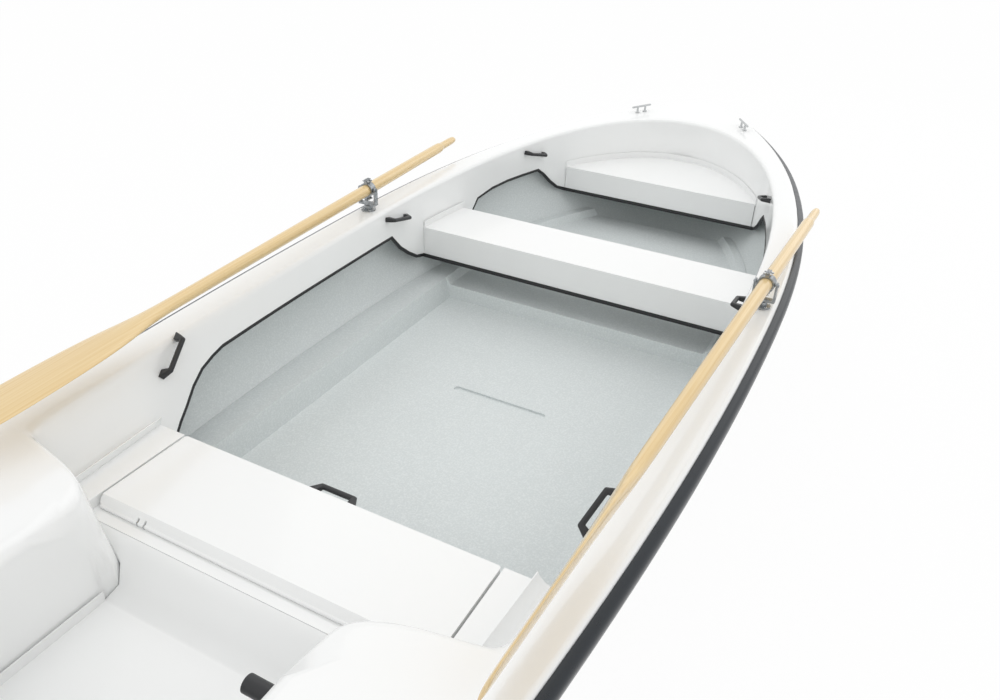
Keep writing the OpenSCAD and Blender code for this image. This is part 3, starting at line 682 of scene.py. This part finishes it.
class BOAT_OT_metal(Operator):
    """Gives the cleats, the eye, the hinges and the oarlocks their metal"""

    bl_idname = "boat.metal"
    bl_label = "Metal fittings"

    def execute(self, context):
        finishes = {"stainless": stainless(), "galvanised": zinc_plate()}
        groups = {"stainless": ("bow_cleats", "bow_eye", "lid_hinges"),
                  "galvanised": ("socket_port", "socket_starboard", "oarlock_port",
                                 "oarlock_starboard", "clamp_port", "clamp_starboard")}
        for slot, nodes in groups.items():
            for node in nodes:
                piece = frame_copy(node, node + "_metal")
                if node == "bow_cleats":
                    soften(piece, 1 * MM, 5)
                else:
                    round_edges(piece, 0.8 * MM, 45, 2)
                smooth(piece, 45)
                hand_over(piece, body_of(node), finishes[slot], slot, node)
        for name, _ in SIDES:
            self.bolts(name, context.scene.boat_sizes.bolt, finishes["stainless"])
            self.screws(name, context.scene.boat_sizes.screw, finishes["stainless"])
        return {"FINISHED"}

    def bolts(self, name, thread, steel):
        """Bolts through the lugs of an oar clamp, with a hexagon head and a nut on each"""
        joint = JOINTS[name + "_oar_tilt"]
        centre, axis = Vector(joint["pos_m"]), Vector(joint["axis"])
        turn = Matrix.Rotation(math.atan2(-axis.x, axis.y), 4, "Z")
        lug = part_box("clamp_" + name)[1].z - centre.z
        made = []
        for along in (-BOLT_PITCH / 2, BOLT_PITCH / 2):
            for height in (lug - BOLT_INSET, BOLT_INSET - lug):
                head = drum(0.9 * thread, BOLT_GRIP, 6)
                modify(head, "BEVEL", width=0.5 * MM, segments=2)
                shaft = drum(thread / 2, BOLT_LENGTH, 20)
                pair = join([head, shaft], "bolt")
                place = Matrix.Translation(centre) @ turn @ Matrix.Translation((along, 0, height))
                made.append(settle(pair, place @ Matrix.Rotation(math.pi / 2, 4, "X")))
        bolts = join(made, "clamp_bolts_" + name)
        smooth(bolts)
        hand_over(bolts, body_of("clamp_" + name), steel, "stainless")

    def screws(self, name, head, steel):
        """Raised screw heads round the base of an oarlock's socket"""
        low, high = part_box("socket_" + name)
        centre = (low + high) / 2
        made = []
        for i in range(4):
            turn = math.radians(45 + 90 * i)
            place = (centre.x + SCREW_CIRCLE * math.cos(turn),
                     centre.y + SCREW_CIRCLE * math.sin(turn), low.z + 5 * MM)
            bpy.ops.mesh.primitive_uv_sphere_add(
                segments=20, ring_count=10, radius=head / 2, location=place)
            made.append(bpy.context.active_object)
            bpy.ops.transform.resize(value=(1, 1, 0.4))
            settle(made[-1])
        screws = join(made, "socket_screws_" + name)
        smooth(screws)
        hand_over(screws, body_of("socket_" + name), steel, "stainless")


class BOAT_OT_oars(Operator):
    """Gives the oars their varnished wood"""

    bl_idname = "boat.oars"
    bl_label = "Oars"

    def execute(self, context):
        for name, _ in SIDES:
            axis = Vector(JOINTS[name + "_oar_tilt"]["axis"])
            heading = math.atan2(axis.y, axis.x) + math.pi / 2
            piece = frame_copy("oar_" + name, "oar_wood_" + name)
            self.keep_grip(piece, Vector(JOINTS[name + "_oar_tilt"]["pos_m"]))
            modify(piece, "SUBSURF", levels=2, render_levels=2)
            smooth(piece, 60)
            knots = [KNOT] if name == "starboard" else []
            material = varnished_pine("Varnished pine " + name, heading, knots)
            hand_over(piece, body_of("oar_" + name), material, "pine", "oar_" + name)
        return {"FINISHED"}

    def keep_grip(self, piece, lock):
        """Keeps the step between an oar's grip and its shaft crisp"""
        end = max((vertex.co - lock).length for vertex in piece.data.vertices
                  if vertex.co.x > lock.x)
        near, far = (end - step for step in GRIP_STEP)
        pick(piece, "VERT", lambda v: v.co.x > lock.x and near < (v.co - lock).length < far)
        bpy.ops.mesh.select_mode(type="EDGE")
        bpy.ops.transform.edge_crease(value=0.8)
        object_mode()


class BOAT_OT_stage(Operator):
    """Sets the floor, the lights and the camera"""

    bl_idname = "boat.stage"
    bl_label = "Stage"

    def execute(self, context):
        bpy.ops.mesh.primitive_plane_add(size=60)
        floor = bpy.context.active_object
        floor.name = "studio_floor"
        floor.data.materials.append(self.paper())
        world = context.scene.world or bpy.data.worlds.new("Studio")
        context.scene.world = world
        world.use_nodes = True
        tree = world.node_tree
        tree.nodes.clear()
        plain = {"Color": (1, 1, 1, 1)}
        ambient = add(tree, "ShaderNodeBackground", {**plain, "Strength": AMBIENT}).outputs[0]
        white = add(tree, "ShaderNodeBackground", {**plain, "Strength": 1}).outputs[0]
        mix = add(tree, "ShaderNodeMixShader", {0: seen_directly(tree), 1: ambient, 2: white})
        add(tree, "ShaderNodeOutputWorld", {"Surface": mix.outputs[0]})
        for name, place, aim, size, power in LAMPS:
            bpy.ops.object.light_add(type="AREA", location=place)
            lamp = bpy.context.active_object
            lamp.name = name
            lamp.data.size = size
            lamp.data.energy = power
            beam = Vector(aim) - Vector(place)
            lamp.rotation_euler = beam.to_track_quat("-Z", "Y").to_euler()
        bpy.ops.object.camera_add()
        camera = bpy.context.active_object
        camera.data.lens = CAMERA_LENS
        camera.data.sensor_width = 36
        heading, dip, roll = (math.radians(angle) for angle in CAMERA_ANGLES)
        quarter = math.pi / 2
        camera.matrix_world = (
            Matrix.Translation(CAMERA_PLACE) @ Matrix.Rotation(heading - quarter, 4, "Z")
            @ Matrix.Rotation(quarter - dip, 4, "X") @ Matrix.Rotation(roll, 4, "Z"))
        camera.data.clip_end = 200
        context.scene.camera = camera
        context.scene.view_settings.view_transform = "Standard"
        return {"FINISHED"}

    def paper(self):
        """Seamless paper: white to the camera, with the boat's shadow left in it."""
        material = bpy.data.materials.new("Seamless paper")
        material.use_nodes = True
        tree = material.node_tree
        tree.nodes.clear()
        lit = add(tree, "ShaderNodeBsdfDiffuse", {"Color": (0.9, 0.9, 0.9, 1)}).outputs[0]
        bright = add(tree, "ShaderNodeEmission", {"Color": (1, 1, 1, 1), "Strength": 1}).outputs[0]
        seen = add(tree, "ShaderNodeMath", {0: seen_directly(tree), 1: PAPER_SHARE},
                   operation="MULTIPLY").outputs[0]
        mix = add(tree, "ShaderNodeMixShader", {0: seen, 1: lit, 2: bright}).outputs[0]
        add(tree, "ShaderNodeOutputMaterial", {"Surface": mix})
        return material


def seen_directly(tree):
    """1 for rays from the camera, a mirror or a lens."""
    path = add(tree, "ShaderNodeLightPath").outputs
    first = add(tree, "ShaderNodeMath", {0: path["Is Camera Ray"], 1: path["Is Glossy Ray"]},
                operation="MAXIMUM").outputs[0]
    return add(tree, "ShaderNodeMath", {0: first, 1: path["Is Transmission Ray"]},
               operation="MAXIMUM").outputs[0]


OPERATORS = (BOAT_OT_hull, BOAT_OT_mouldings, BOAT_OT_rubber, BOAT_OT_handles, BOAT_OT_metal,
             BOAT_OT_oars, BOAT_OT_stage)


class BOAT_PT_sidebar(Panel):
    """Lists the boat's sizes, colours and steps"""

    bl_idname = "BOAT_PT_sidebar"
    bl_label = "Rowing boat"
    bl_space_type = "VIEW_3D"
    bl_region_type = "UI"
    bl_category = "Boat"

    def draw(self, context):
        for group in (context.scene.boat_sizes, context.scene.boat_colours):
            column = self.layout.column()
            for name in group.bl_rna.properties.keys():
                if name not in ("rna_type", "name"):
                    column.prop(group, name)
        for operator in OPERATORS:
            self.layout.operator(operator.bl_idname)


CLASSES = (BoatColours, BoatSizes, *OPERATORS, BOAT_PT_sidebar)


def register():
    for cls in CLASSES:
        bpy.utils.register_class(cls)
    bpy.types.Scene.boat_colours = PointerProperty(type=BoatColours)
    bpy.types.Scene.boat_sizes = PointerProperty(type=BoatSizes)


def unregister():
    del bpy.types.Scene.boat_sizes
    del bpy.types.Scene.boat_colours
    for cls in reversed(CLASSES):
        bpy.utils.unregister_class(cls)


def main():
    register()
    bpy.ops.boat.hull()
    bpy.ops.boat.mouldings()
    bpy.ops.boat.rubber()
    bpy.ops.boat.handles()
    bpy.ops.boat.metal()
    bpy.ops.boat.oars()
    bpy.ops.boat.stage()


if __name__ == "__main__":
    main()
